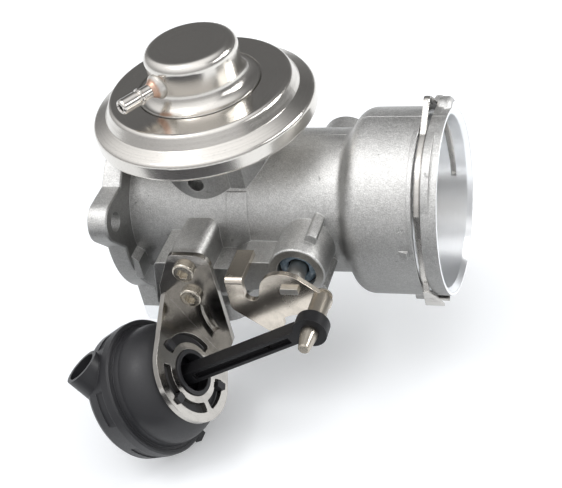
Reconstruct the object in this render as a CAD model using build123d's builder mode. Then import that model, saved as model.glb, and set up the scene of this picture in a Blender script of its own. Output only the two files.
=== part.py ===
from build123d import *
import os
from math import cos, radians, sin

os.makedirs("parts", exist_ok=True)

# Vacuum-worked EGR valve with a throttle flap in its intake tube.
# Millimetres. X runs along the intake bore from the manifold face (X = 0) to the inlet mouth,
# Z is the lift direction of the gas valve, and the levers and vacuum actuator sit on the -Y side.

# ---------------------------------------------------------------- driving dimensions
LENGTH = 116.2             # manifold face to inlet mouth
BORE_R = 21.5              # intake bore
TUBE_R = 25.0              # outside of the cast tube
CONTACT = 0.1              # working gap where a moving stop rests
RUN = 0.05                 # radial running clearance of shafts and pins

# manifold flange
FLANGE_T = 7.0
FLANGE_R = 32.2
EAR_R = 7.2
UPPER_BOLT_Y = 33.4
UPPER_BOLT_Z = 15.0
LOWER_BOLT_Y = 14.5
LOWER_BOLT_Z = -37.0
MANIFOLD_BOLT_R = 3.4
REGISTER_R = 23.0
REGISTER_DEPTH = 5.0

# inlet collar
COLLAR_R = 32.0
COLLAR_LENGTH = 31.7
MOUTH_R = 29.3
MOUTH_DEPTH = 20.0
MOUTH_CHAMFER = 1.7
THROAT_CONE = 6.2
GROOVE_FROM_MOUTH = 7.9
GROOVE_WIDTH = 2.8
GROOVE_DEPTH = 1.6
LIP_PROUD = 1.1            # raised lips that guard the hose clip
LUG_ANGLE = 62.0           # cast lug at the mouth, from +Y towards +Z
WINDOW_Z = ((-1, -9.4, 14.6), (1, -9.8, 19.2))   # clip windows: side, low and high edge

# gas valve and its can
EGR_X = 34.4
NECK_R = 20.1
NECK_WALL = 4.1
NECK_TOP = 31.0
NECK_STEP_R = 23.5         # thicker root of the neck on the inlet side
NECK_STEP_Y = 17.7
VENT_R = 2.9
GUIDE_BOSS_R = 7.0
GAS_PLATE_BOTTOM = -33.5
GAS_PLATE_T = 8.0
GAS_BOSS_R = 17.5
GAS_EAR_R = 8.8
GAS_BOLT_Y = 19.5
GAS_BOLT_R = 4.2
GAS_PORT_R = 12.0
SEAT_R = 14.0
SEAT_BORE_R = 10.5
SEAT_TOP = -21.0
SEAT_T = 6.0
HEAD_R = 12.4
HEAD_T = 2.4
STEM_R = 3.0
GUIDE_R = 5.0
SHEET = 1.2                # pressed steel of the can
CAN_R = 38.5
RIM_BOTTOM_Z = 35.2
RIM_TOP_Z = 41.6
DOME_TOP_Z = 48.2
STEP_R = 21.5              # shallow pressed step round the flare of the cap
STEP_DEPTH = 0.35
CAP_FOOT_R = 15.5
CAP_R = 16.1
CAP_TOP = 64.0
DIAPHRAGM_T = 1.2
NUT_T = 3.0
CAN_SCREW_PCD_R = 12.0
NIPPLE_Z = 55.6
NIPPLE_X_DIR = -0.545
NIPPLE_Y_DIR = -0.8385
NIPPLE_R = 2.35
NIPPLE_BORE_R = 1.3
NIPPLE_REACH = 31.0
BARREL_R = 2.6             # end of the nipple that takes the hose

# throttle
SHAFT_X = 70.3
SHAFT_R = 3.1
FLAP_CLEAR = 0.3
FLAP_T = 1.5
THROTTLE_SWING = 80.0
BOSS_R = 9.6
FRONT_BOSS_Y = -39.7
REAR_BOSS_Y = 37.5
BOSS_BORE_R = 6.6
BUSH_R = 5.0
LEVER_FRONT_Y = -48.0
LEVER_T = 2.0
TANG_T = 2.2
PIN_DX = 9.9
PIN_DZ = -4.2
PIN_R = 3.2
JOURNAL_R = 2.9
PIN_TIP_R = 1.9
PIN_TIP_Y = -71.2

# rod and actuator
ROD_Y = -60.5              # middle plane of the rod and actuator axis
ROD_T = 6.0
ROD_W = 4.6
SHANK_INTO_BELL = 4.6      # the shank reaches this far behind the bracket ring
EYE_R = 5.6
EYE_T = 4.8                # the eye is thinner than the shank, flush with its front
RING_FROM_PIN = 51.7       # pin to the bracket ring, along the rod
BUTTON_DEPTH = 10.0        # back of the rod's button behind the ring
BUTTON_T = 2.4
BUTTON_R = 5.4
PISTON_R = 15.0
SOCKET_PLAY = 0.4
BRACKET_T = 2.0
FOLD_TOP = 23.6            # ends of the fold, up and down from the actuator axis
FOLD_FOOT = -10.0
RING_R = 17.2
RING_HOLE_R = 8.2
BELL_R = 21.0
BELL_NECK_BORE_R = 6.6
COVER_R = 24.0
COVER_INNER_R = 22.4
COVER_FRONT = 16.5
COVER_DEPTH = 29.5
RIM_DEPTH = 16.5
COVER_WINDOWS = ((17, 26), (-40, 26), (86, 13))
SLOT_INNER_R = 10.6
SLOT_OUTER_R = 14.0
RING_SLOTS = ((84, 102), (-57, 117), (-122, 55))  # start angle and sweep
HOOK_ANGLES = (93, 4, -112)
HOOK_T = 2.6
SPOUT_R = 6.9
SPOUT_WALL = 1.4
SPOUT_LENGTH = 22.2

# hose clip
CLIP_T = 1.0
CLIP_WIDTH = 2.0
CLIP_AXIS = 240.0          # the clip opens here, between its two flared ends

# pieces inside the can and the bosses
LOWER_PLATE_Z = 34.2
PLATE_T = 1.0
STEM_TIP_R = 2.5
BEAD_GAP = 0.05
SEAL_T = 3.0
FRONT_RECESS = 7.2
SEAL_FACE = 3.4
REAR_RECESS = 5.0
BUSH_INNER_Y = 22.2
REAR_SHAFT_Y = 34.0
FLAT_Z = 2.4
FLAP_SCREW_Y = (-9.0, 9.0)
FLAP_SCREW_R = 1.5
TANG_PROUD = 1.3
TAB_LENGTH = 13.5
NOTCH_X = (-16.2, -11.3)   # from the shaft centre, as is TAB_X
TAB_X = (-22.2, NOTCH_X[0])
TAB_Z = 1.1 + CONTACT
EYE_GAP = 0.3

# bracket pad on the casting
PAD_FRONT_Y = -42.3
PAD_X = (27.5, 39.5)
PAD_Z = (-13.0, 9.3)
SCREW_X = 33.1
SCREW_Z = (3.6, -7.35)
SCREW_HEAD_R = 3.75
SCREW_R = 2.0
SCREW_DEPTH = 12.0

# ---------------------------------------------------------------- derived places
COLLAR_X = LENGTH - COLLAR_LENGTH
PIN_X = SHAFT_X + PIN_DX
PIN_ANGLE = Vector(1, 0, 0).get_signed_angle(Vector(PIN_DX, PIN_DZ, 0), Vector(0, 0, 1))
ROD_ANGLE = 90 - THROTTLE_SWING / 2 + PIN_ANGLE
ROD_DIR = Vector(cos(radians(ROD_ANGLE)), 0, sin(radians(ROD_ANGLE)))
RING_CENTRE = Vector(PIN_X, ROD_Y, PIN_DZ) - ROD_DIR * RING_FROM_PIN
PIN_ARM = Vector(PIN_DX, PIN_DZ, 0).length
SAG = PIN_ARM * (1 - cos(radians(THROTTLE_SWING / 2)))
STROKE = 2 * PIN_ARM * sin(radians(THROTTLE_SWING / 2))
NIPPLE_DIR = Vector(NIPPLE_X_DIR, NIPPLE_Y_DIR, 0).normalized()
HALF = SHEET / 2
LOWER_RIM_Z = RIM_BOTTOM_Z + SHEET
PLATE_R = CAN_R - 15.1
SHOULDER = Vector(CAN_R - 5.5, DOME_TOP_Z - 4.9)    # foot of the dome wall, mid-sheet
CROWN = Vector(CAN_R - 7.7, DOME_TOP_Z - HALF)      # top edge of the dome, mid-sheet
NUT_Z = LOWER_PLATE_Z + 2 * PLATE_T + DIAPHRAGM_T
FLAP_R = BORE_R - FLAP_CLEAR
EYE_BACK = ROD_Y - ROD_T / 2 + EYE_T
SOCKET_R = BUTTON_R + SAG + 0.2
LIP_R = 2.0 + SAG + 0.2
CLIP_R = COLLAR_R - GROOVE_DEPTH + CLIP_T / 2 + 0.05
CLIP_X = LENGTH - GROOVE_FROM_MOUTH + GROOVE_WIDTH / 2

# axes of the four round systems
BORE_AXIS = Axis.X
VALVE_AXIS = Axis((EGR_X, 0, 0), (0, 0, 1))
SHAFT_AXIS = Axis((SHAFT_X, 0, 0), (0, 1, 0))
PIN_AXIS = Axis((PIN_X, 0, PIN_DZ), (0, 1, 0))
ACTUATOR_AXIS = Axis(RING_CENTRE, ROD_DIR)
NIPPLE_AXIS = Axis((EGR_X, 0, NIPPLE_Z), NIPPLE_DIR)

# half-section planes: first coordinate along or out from the axis, as named
ALONG_BORE = Plane.XZ                                                     # (x, radius)
VALVE_SECTION = Plane((EGR_X, 0, 0), x_dir=(1, 0, 0), z_dir=(0, -1, 0))   # (radius, z)
SHAFT_SECTION = Plane((SHAFT_X, 0, 0), x_dir=(0, 1, 0), z_dir=(1, 0, 0))  # (y, radius)
PIN_SECTION = Plane((PIN_X, 0, PIN_DZ), x_dir=(0, 1, 0), z_dir=(1, 0, 0)) # (y, radius)
ACTUATOR_SECTION = Plane(RING_CENTRE, x_dir=-ROD_DIR, z_dir=(0, 1, 0))    # (depth, radius)
ALONG_ROD = Plane((PIN_X, ROD_Y, PIN_DZ), x_dir=-ROD_DIR, z_dir=(0, -1, 0))
NIPPLE_SECTION = Plane((EGR_X, 0, NIPPLE_Z), x_dir=NIPPLE_DIR, z_dir=(NIPPLE_DIR.Y, -NIPPLE_DIR.X, 0))


def cross_bore(x):
    """Plane across the intake bore at x: local (y, z), normal +X."""
    return Plane((x, 0, 0), x_dir=(0, 1, 0), z_dir=(1, 0, 0))


def facing_front(y):
    """Plane across the shaft direction at y: local (x, z), normal -Y."""
    return Plane((0, y, 0), x_dir=(1, 0, 0), z_dir=(0, -1, 0))


def on_lever(y):
    """Plane of the lever at y, centred on the throttle shaft."""
    return Plane((SHAFT_X, y, 0), x_dir=(1, 0, 0), z_dir=(0, -1, 0))


def across_actuator(depth):
    """Plane across the actuator, depth behind the bracket ring: local x points to -Y."""
    return Plane(RING_CENTRE - ROD_DIR * depth, x_dir=(0, -1, 0), z_dir=-ROD_DIR)


def spout_plane():
    """Lower end of the hose spout that stands on the back of the actuator cover."""
    up = Vector(-ROD_DIR.Z, 0, ROD_DIR.X)
    base = RING_CENTRE - ROD_DIR * (COVER_DEPTH - 5.3) + Vector(0, -9, 0) + up * 2.0
    return Plane(base, x_dir=(0, 1, 0), z_dir=-ROD_DIR * 0.152 + up * 0.988)


SPOUT_BASE = spout_plane()


def section(plane, *points):
    """Closed straight-sided section on a plane."""
    with BuildSketch(plane) as outline:
        with BuildLine():
            Polyline(*points, close=True)
        make_face()
    return outline.sketch


def arc_slot(radius, width, start, arc):
    """Round-ended slot along a circle, in sketch coordinates."""
    with BuildSketch() as slot:
        SlotArc(CenterArc((0, 0), radius, start, arc), width)
    return slot.sketch


def arc_window(inner, outer, start, arc, corner):
    """Square-ended slot along a circle with small corner radii, in sketch coordinates."""
    with BuildSketch() as window:
        with BuildLine():
            far = CenterArc((0, 0), outer, start, arc)
            near = CenterArc((0, 0), inner, start, arc)
            Line(far @ 0, near @ 0)
            Line(far @ 1, near @ 1)
        make_face()
        fillet(window.vertices(), corner)
    return window.sketch


def about_bore(radius, angle):
    """Point (y, z) round the intake bore, angle in degrees from +Y towards +Z."""
    return (radius * cos(radians(angle)), radius * sin(radians(angle)))


def ribbon(plane, thickness, radii, *points):
    """Sheet of constant thickness along a bent line, as a section on a plane."""
    with BuildSketch(plane) as outline:
        with BuildLine() as middle:
            FilletPolyline(*points, radius=radii)
        trace(middle.line, line_width=thickness)
    return outline.sketch


# ---------------------------------------------------------------- housing casting
# hollow of the neck: guide boss and screw bosses are left standing, the tube roof is its floor
with BuildPart() as neck_cavity:
    with BuildSketch(Plane.XY.offset(NECK_TOP)):
        with Locations((EGR_X, 0)):
            Circle(NECK_R - NECK_WALL)
            Circle(GUIDE_BOSS_R, mode=Mode.SUBTRACT)
            with PolarLocations(CAN_SCREW_PCD_R, 3, start_angle=90):
                Circle(4.4, mode=Mode.SUBTRACT)
    extrude(amount=-NECK_TOP)
    with BuildSketch(cross_bore(0)):
        Circle(TUBE_R)
    extrude(amount=LENGTH, mode=Mode.SUBTRACT)

# manifold flange: round disc, two upper ears, a lower foot, edges rounded
with BuildPart() as manifold_flange:
    with BuildSketch(cross_bore(0)):
        Circle(FLANGE_R)
    extrude(amount=FLANGE_T)
    for side in (-1, 1):
        with BuildSketch(cross_bore(0)):
            with Locations((side * UPPER_BOLT_Y, UPPER_BOLT_Z), (side * 20, UPPER_BOLT_Z)):
                Circle(EAR_R)
            with Locations((side * 29, 3.5)):
                Circle(3)
            make_hull()
        extrude(amount=FLANGE_T)
    with BuildSketch(cross_bore(0)):
        with Locations((-LOWER_BOLT_Y, LOWER_BOLT_Z), (LOWER_BOLT_Y, LOWER_BOLT_Z)):
            Circle(EAR_R)
        with Locations((-LOWER_BOLT_Y, -15), (LOWER_BOLT_Y, -15)):
            Circle(EAR_R)
        make_hull()
    extrude(amount=FLANGE_T)
    chamfer(manifold_flange.faces().sort_by(Axis.X)[-1].edges(), 0.5)

# two-bolt plate of the gas port
with BuildPart() as gas_flange:
    with BuildSketch(Plane.XY.offset(GAS_PLATE_BOTTOM)):
        with Locations((EGR_X, 0)):
            Circle(GAS_BOSS_R)
        with Locations((EGR_X, -GAS_BOLT_Y), (EGR_X, GAS_BOLT_Y)):
            Circle(GAS_EAR_R)
        make_hull()
    extrude(amount=GAS_PLATE_T)
    fillet(gas_flange.faces().sort_by(Axis.Z)[-1].edges(), 1.0)

# front shaft boss with a rounded rim
with BuildPart() as front_boss:
    with BuildSketch(facing_front(0)):
        with Locations((SHAFT_X, 0)):
            Circle(BOSS_R)
    extrude(amount=-FRONT_BOSS_Y)
    fillet(front_boss.faces().sort_by(Axis.Y)[0].edges(), 0.6)

# pad for the bracket, its top corners and front edges rounded
with BuildPart() as bracket_pad:
    with BuildSketch(facing_front(0)):
        with BuildLine():
            FilletPolyline(
                (PAD_X[0], PAD_Z[0]), (PAD_X[0], PAD_Z[1]), (PAD_X[1], PAD_Z[1]), (PAD_X[1], PAD_Z[0]),
                radius=[2.5, 3.5],
            )
            Line((PAD_X[1], PAD_Z[0]), (PAD_X[0], PAD_Z[0]))
        make_face()
    extrude(amount=-PAD_FRONT_Y)

# lug on the collar at the mouth, rounded all over
with BuildPart() as collar_lug:
    with BuildSketch(cross_bore(LENGTH)):
        with Locations(about_bore(29.2, LUG_ANGLE)):
            Circle(6.2)
    extrude(amount=-5.0)
    fillet(collar_lug.edges().group_by(Axis.X)[-1], 2.2)
    fillet(collar_lug.edges().group_by(Axis.X)[0], 1.0)

with BuildPart() as housing:
    # tube and inlet collar, turned about the bore
    with BuildSketch(ALONG_BORE):
        with BuildLine():
            FilletPolyline(
                (0, TUBE_R), (COLLAR_X - 2, TUBE_R), (COLLAR_X + 2, COLLAR_R), (LENGTH, COLLAR_R),
                radius=[3, 6],
            )
            Polyline((LENGTH, COLLAR_R), (LENGTH, 0), (0, 0), (0, TUBE_R))
        make_face()
    revolve(axis=BORE_AXIS)
    add(manifold_flange.part)
    # small gusset between flange and tube
    with BuildSketch(facing_front(-24)):
        Polygon((6.5, -2.0), (7, -2.3), (9.3, -4.7), (9.3, -12), (6.5, -12), align=None)
    extrude(amount=7)
    # neck that carries the diaphragm can
    with BuildSketch(Plane.XY):
        with Locations((EGR_X, 0)):
            Circle(NECK_R)
    extrude(amount=NECK_TOP)
    # thicker root of the neck on the inlet side, cut flat front and back
    with BuildSketch(Plane.XY):
        with Locations((EGR_X, 0)):
            Circle(NECK_STEP_R)
        with Locations((EGR_X + NECK_STEP_R, 0)):
            Rectangle(2 * NECK_STEP_R - 20, 2 * NECK_STEP_Y, mode=Mode.INTERSECT)
    extrude(amount=NECK_TOP - 1)
    # low band that runs down the tube from it
    with BuildSketch(cross_bore(43)):
        Circle(TUBE_R + 0.4)
        with Locations((-TUBE_R, 8)):
            Rectangle(20, 18, mode=Mode.INTERSECT)
    extrude(amount=7.4)
    # gas port boss and its plate under the tube
    with BuildSketch(Plane.XY.offset(GAS_PLATE_BOTTOM)):
        with Locations((EGR_X, 0)):
            Circle(GAS_BOSS_R)
    extrude(amount=-GAS_PLATE_BOTTOM)
    add(gas_flange.part)
    # shaft bosses
    add(front_boss.part)
    with BuildSketch(facing_front(0)):
        with Locations((SHAFT_X, 0)):
            Circle(BOSS_R)
    extrude(amount=-REAR_BOSS_Y)
    # rib on the front boss, and a small nub at its lower right
    with BuildSketch(Plane((SHAFT_X, -20, 0), x_dir=(0.88, 0, -0.475), z_dir=(0, -1, 0))):
        with Locations((0, 10.2)):
            RectangleRounded(3.9, 4.4, 1.2)
    extrude(amount=14.2)
    with BuildSketch(facing_front(-20)):
        with Locations((SHAFT_X + 7.0, -7.6)):
            Circle(1.9)
    extrude(amount=-FRONT_BOSS_Y - 20.8)
    # bracket pad with a lower step beside it
    add(bracket_pad.part)
    with BuildSketch(facing_front(0)):
        Polygon((18.5, PAD_Z[0]), (21.2, 3.6), (22.2, 4.8), (29, 4.8), (29, PAD_Z[0]), align=None)
    extrude(amount=-PAD_FRONT_Y)
    # stop web between pad and boss: the lever tab rests on its upper step
    with BuildSketch(facing_front(0)):
        Polygon(
            (38, -2), (44.6, -2), (49.9, 1.1), (62, 1.1), (66, -9), (38, -13),
            align=None,
        )
    extrude(amount=36.5)
    # lug at the mouth, a small cast lug below, and a ramp behind the clip groove
    add(collar_lug.part)
    with BuildSketch(cross_bore(LENGTH - 13)):
        with Locations(about_bore(COLLAR_R - 1, 234)):
            Circle(2.6)
    extrude(amount=3.0)
    with BuildSketch(Plane.XY.offset(1.0)):
        Polygon(
            (LENGTH - 13.0, -30.6), (LENGTH - 13.0, -31.9), (LENGTH - 9.9, -33.0), (LENGTH - 9.9, -30.6),
            align=None,
        )
    extrude(amount=2.6)
    # crescent lips on both sides of the clip groove, front and back
    for x, thick, middle, shift in ((9.5, 1.5, 136, 4.2), (5.0, 2.6, 125, 8.5)):
        with BuildSketch(cross_bore(LENGTH - x)):
            with Locations(about_bore(shift, middle), about_bore(shift, 180 - middle)):
                Circle(COLLAR_R + LIP_PROUD - shift)
        extrude(amount=thick)
    # bore, spigot register, mouth
    with BuildSketch(cross_bore(0)):
        Circle(BORE_R)
    extrude(amount=LENGTH, mode=Mode.SUBTRACT)
    with BuildSketch(cross_bore(0)):
        Circle(REGISTER_R)
    extrude(amount=REGISTER_DEPTH, mode=Mode.SUBTRACT)
    revolve(
        section(
            ALONG_BORE,
            (LENGTH - MOUTH_DEPTH - THROAT_CONE, 0), (LENGTH - MOUTH_DEPTH - THROAT_CONE, BORE_R),
            (LENGTH - MOUTH_DEPTH, MOUTH_R), (LENGTH - MOUTH_CHAMFER, MOUTH_R),
            (LENGTH, MOUTH_R + MOUTH_CHAMFER), (LENGTH, 0),
        ),
        axis=BORE_AXIS,
        mode=Mode.SUBTRACT,
    )
    # clip groove and the two windows where the clip reaches into the bore
    revolve(
        section(
            ALONG_BORE,
            (LENGTH - GROOVE_FROM_MOUTH, COLLAR_R - GROOVE_DEPTH),
            (LENGTH - GROOVE_FROM_MOUTH + GROOVE_WIDTH, COLLAR_R - GROOVE_DEPTH),
            (LENGTH - GROOVE_FROM_MOUTH + GROOVE_WIDTH, 2 * COLLAR_R),
            (LENGTH - GROOVE_FROM_MOUTH, 2 * COLLAR_R),
        ),
        axis=BORE_AXIS,
        mode=Mode.SUBTRACT,
    )
    for side, low, high in WINDOW_Z:
        with BuildSketch(cross_bore(LENGTH - GROOVE_FROM_MOUTH + 0.4)):
            with Locations((side * (COLLAR_R - 1), (low + high) / 2)):
                Rectangle(18, high - low)
        extrude(amount=GROOVE_WIDTH - 0.8, mode=Mode.SUBTRACT)
    # hollow neck over the tube roof
    add(neck_cavity.part, mode=Mode.SUBTRACT)
    # vent windows through the neck, front and back, above the tube roof
    for y, depth in ((-NECK_R - 2, -NECK_WALL - 3), (NECK_R + 2, NECK_WALL + 3)):
        with BuildSketch(facing_front(y)):
            with Locations((EGR_X - 1.2, 21.0)):
                Circle(VENT_R)
        extrude(amount=depth, mode=Mode.SUBTRACT)
    # stem guide bore, gas port and seat pocket
    with BuildSketch(Plane.XY):
        with Locations((EGR_X, 0)):
            Circle(GUIDE_R)
    extrude(amount=NECK_TOP, mode=Mode.SUBTRACT)
    with BuildSketch(Plane.XY.offset(GAS_PLATE_BOTTOM)):
        with Locations((EGR_X, 0)):
            Circle(GAS_PORT_R)
    extrude(amount=-GAS_PLATE_BOTTOM, mode=Mode.SUBTRACT)
    with BuildSketch(Plane.XY.offset(SEAT_TOP - SEAT_T)):
        with Locations((EGR_X, 0)):
            Circle(SEAT_R)
    extrude(amount=SEAT_T - SEAT_TOP - 10, mode=Mode.SUBTRACT)
    # can screws, gas bolts and manifold bolts
    with BuildSketch(Plane.XY.offset(NECK_TOP)):
        with Locations((EGR_X, 0)):
            with PolarLocations(CAN_SCREW_PCD_R, 3, start_angle=90):
                Circle(SCREW_R)
    extrude(amount=-8, mode=Mode.SUBTRACT)
    with BuildSketch(Plane.XY.offset(GAS_PLATE_BOTTOM)):
        with Locations((EGR_X, -GAS_BOLT_Y), (EGR_X, GAS_BOLT_Y)):
            Circle(GAS_BOLT_R)
    extrude(amount=GAS_PLATE_T, mode=Mode.SUBTRACT)
    with BuildSketch(cross_bore(0)):
        with Locations(
            (-UPPER_BOLT_Y, UPPER_BOLT_Z), (UPPER_BOLT_Y, UPPER_BOLT_Z),
            (-LOWER_BOLT_Y, LOWER_BOLT_Z), (LOWER_BOLT_Y, LOWER_BOLT_Z),
        ):
            Circle(MANIFOLD_BOLT_R)
    extrude(amount=FLANGE_T, mode=Mode.SUBTRACT)
    # shaft bore with its two counterbores, and the bracket screw holes
    with BuildSketch(facing_front(FRONT_BOSS_Y)):
        with Locations((SHAFT_X, 0)):
            Circle(BUSH_R)
    extrude(amount=FRONT_BOSS_Y - REAR_BOSS_Y, mode=Mode.SUBTRACT)
    with BuildSketch(facing_front(FRONT_BOSS_Y)):
        with Locations((SHAFT_X, 0)):
            Circle(BOSS_BORE_R)
    extrude(amount=-FRONT_RECESS, mode=Mode.SUBTRACT)
    with BuildSketch(facing_front(REAR_BOSS_Y)):
        with Locations((SHAFT_X, 0)):
            Circle(BOSS_BORE_R)
    extrude(amount=REAR_RECESS, mode=Mode.SUBTRACT)
    with BuildSketch(facing_front(PAD_FRONT_Y)):
        with Locations(*[(SCREW_X, z) for z in SCREW_Z]):
            Circle(SCREW_R)
    extrude(amount=-SCREW_DEPTH, mode=Mode.SUBTRACT)
housing.part.label = "housing"

# ---------------------------------------------------------------- gas valve
with BuildPart() as egr_seat:
    revolve(
        section(
            VALVE_SECTION,
            (SEAT_BORE_R, SEAT_TOP - SEAT_T), (SEAT_R, SEAT_TOP - SEAT_T),
            (SEAT_R, SEAT_TOP), (SEAT_BORE_R, SEAT_TOP),
        ),
        axis=VALVE_AXIS,
    )
egr_seat.part.label = "egr_seat"

with BuildPart() as egr_poppet:
    revolve(
        section(
            VALVE_SECTION,
            (0, SEAT_TOP - 1.3), (SEAT_BORE_R - 1.1, SEAT_TOP - 1.3), (SEAT_BORE_R - 0.3, SEAT_TOP),
            (HEAD_R, SEAT_TOP), (HEAD_R, SEAT_TOP + 1.0), (HEAD_R - 2, SEAT_TOP + HEAD_T),
            (STEM_R + 2.5, SEAT_TOP + HEAD_T + 0.8), (STEM_R, SEAT_TOP + HEAD_T + 3.5),
            (STEM_R, LOWER_PLATE_Z), (STEM_TIP_R, LOWER_PLATE_Z),
            (STEM_TIP_R, NUT_Z + NUT_T + 0.6), (STEM_TIP_R - 0.4, NUT_Z + NUT_T + 1.0),
            (0, NUT_Z + NUT_T + 1.0),
        ),
        axis=VALVE_AXIS,
    )
egr_poppet.part.label = "egr_poppet"

with BuildPart() as stem_guide:
    revolve(
        section(
            VALVE_SECTION,
            (STEM_R + RUN, BORE_R + 0.3), (GUIDE_R, BORE_R + 0.3),
            (GUIDE_R, NECK_TOP - SEAL_T), (STEM_R + RUN, NECK_TOP - SEAL_T),
        ),
        axis=VALVE_AXIS,
    )
stem_guide.part.label = "stem_guide"

with BuildPart() as stem_seal:
    revolve(
        section(
            VALVE_SECTION,
            (STEM_R + RUN, NECK_TOP - SEAL_T), (GUIDE_R, NECK_TOP - SEAL_T),
            (GUIDE_R, NECK_TOP), (STEM_R + 0.8, NECK_TOP), (STEM_R + RUN, NECK_TOP - 0.8),
        ),
        axis=VALVE_AXIS,
    )
stem_seal.part.label = "stem_seal"

# ---------------------------------------------------------------- diaphragm can
with BuildPart() as lower_can:
    revolve(
        ribbon(
            VALVE_SECTION, SHEET, [2.5, 2.5],
            (GUIDE_BOSS_R + 0.8, NECK_TOP + HALF), (CAN_R - 15.0, NECK_TOP + HALF),
            (CAN_R - 8.0, LOWER_RIM_Z + HALF), (CAN_R - 1.4, LOWER_RIM_Z + HALF),
        ),
        axis=VALVE_AXIS,
    )
    with BuildSketch(Plane.XY.offset(NECK_TOP)):
        with Locations((EGR_X, 0)):
            with PolarLocations(CAN_SCREW_PCD_R, 3, start_angle=90):
                Circle(SCREW_R)
    extrude(amount=SHEET, mode=Mode.SUBTRACT)
    with BuildSketch(Plane.XY.offset(NECK_TOP)):
        with Locations((EGR_X, 0)):
            with PolarLocations(19.0, 4, start_angle=45):
                Circle(1.2)
    extrude(amount=SHEET, mode=Mode.SUBTRACT)
lower_can.part.label = "lower_can"

with BuildPart() as can_screws:
    with BuildSketch(Plane.XY.offset(NECK_TOP + SHEET)):
        with Locations((EGR_X, 0)):
            with PolarLocations(CAN_SCREW_PCD_R, 3, start_angle=90):
                Circle(3.4)
    extrude(amount=1.4)
    with BuildSketch(Plane.XY.offset(NECK_TOP + SHEET)):
        with Locations((EGR_X, 0)):
            with PolarLocations(CAN_SCREW_PCD_R, 3, start_angle=90):
                Circle(SCREW_R)
    extrude(amount=-7)
can_screws.part.label = "can_screws"

with BuildPart() as upper_can:
    # one drawn shell: rolled rim, sloping flange, dome, flat crown, flare and cap
    revolve(
        ribbon(
            VALVE_SECTION, SHEET, [0.7, 1.2, 1.0, 1.2, 6.0, 2.7],
            (CAN_R - 3.2, LOWER_RIM_Z - HALF), (CAN_R - HALF, LOWER_RIM_Z - HALF),
            (CAN_R - HALF, RIM_TOP_Z - HALF), (SHOULDER.X, SHOULDER.Y), (CROWN.X, CROWN.Y),
            (CAP_FOOT_R - HALF, CROWN.Y), (CAP_R - HALF, CAP_TOP - HALF), (0.5, CAP_TOP - HALF),
        ),
        axis=VALVE_AXIS,
    )
    with BuildSketch(Plane.XY.offset(CAP_TOP - SHEET)):
        with Locations((EGR_X, 0)):
            Circle(2)
    extrude(amount=SHEET)
    # shallow step pressed into the crown
    with BuildSketch(Plane.XY.offset(DOME_TOP_Z - STEP_DEPTH)):
        with Locations((EGR_X, 0)):
            Circle(STEP_R)
            Circle(STEP_R - 1.0, mode=Mode.SUBTRACT)
    extrude(amount=STEP_DEPTH, mode=Mode.SUBTRACT)
    revolve(
        section(
            NIPPLE_SECTION,
            (CAP_R - 4, 0), (CAP_R + 2, 0), (CAP_R + 2, NIPPLE_R), (CAP_R - 4, NIPPLE_R),
        ),
        axis=NIPPLE_AXIS,
        mode=Mode.SUBTRACT,
    )
upper_can.part.label = "upper_can"

with BuildPart() as vacuum_nipple:
    # plain tube, a raised ring, then the barrel that takes the hose
    revolve(
        section(
            NIPPLE_SECTION,
            (CAP_R - 2.2, NIPPLE_BORE_R), (NIPPLE_REACH - 0.4, NIPPLE_BORE_R),
            (NIPPLE_REACH, NIPPLE_BORE_R + 0.4), (NIPPLE_REACH, BARREL_R - 0.7),
            (NIPPLE_REACH - 0.3, BARREL_R - 0.25), (NIPPLE_REACH - 0.9, BARREL_R),
            (24.5, BARREL_R), (24.1, NIPPLE_R), (23.6, NIPPLE_R), (23.3, NIPPLE_R + 0.55),
            (22.6, NIPPLE_R + 0.55), (22.2, NIPPLE_R), (CAP_R - 2.2, NIPPLE_R),
        ),
        axis=NIPPLE_AXIS,
    )
vacuum_nipple.part.label = "vacuum_nipple"

with BuildPart() as nipple_braze:
    revolve(
        section(
            NIPPLE_SECTION,
            (CAP_R - 1.2, NIPPLE_R), (CAP_R - 1.2, NIPPLE_R + 2.2), (CAP_R + 0.4, NIPPLE_R + 1.9),
            (CAP_R + 1.6, NIPPLE_R + 0.7), (CAP_R + 3.0, NIPPLE_R),
        ),
        axis=NIPPLE_AXIS,
    )
    # it wets the outside of the cap and nothing behind it
    with BuildSketch(Plane.XY.offset(NIPPLE_Z - 8)):
        with Locations((EGR_X, 0)):
            Circle(CAP_FOOT_R - 0.2)
    extrude(amount=14, mode=Mode.SUBTRACT)
    add(upper_can.part, mode=Mode.SUBTRACT)
nipple_braze.part.label = "nipple_braze"

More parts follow.
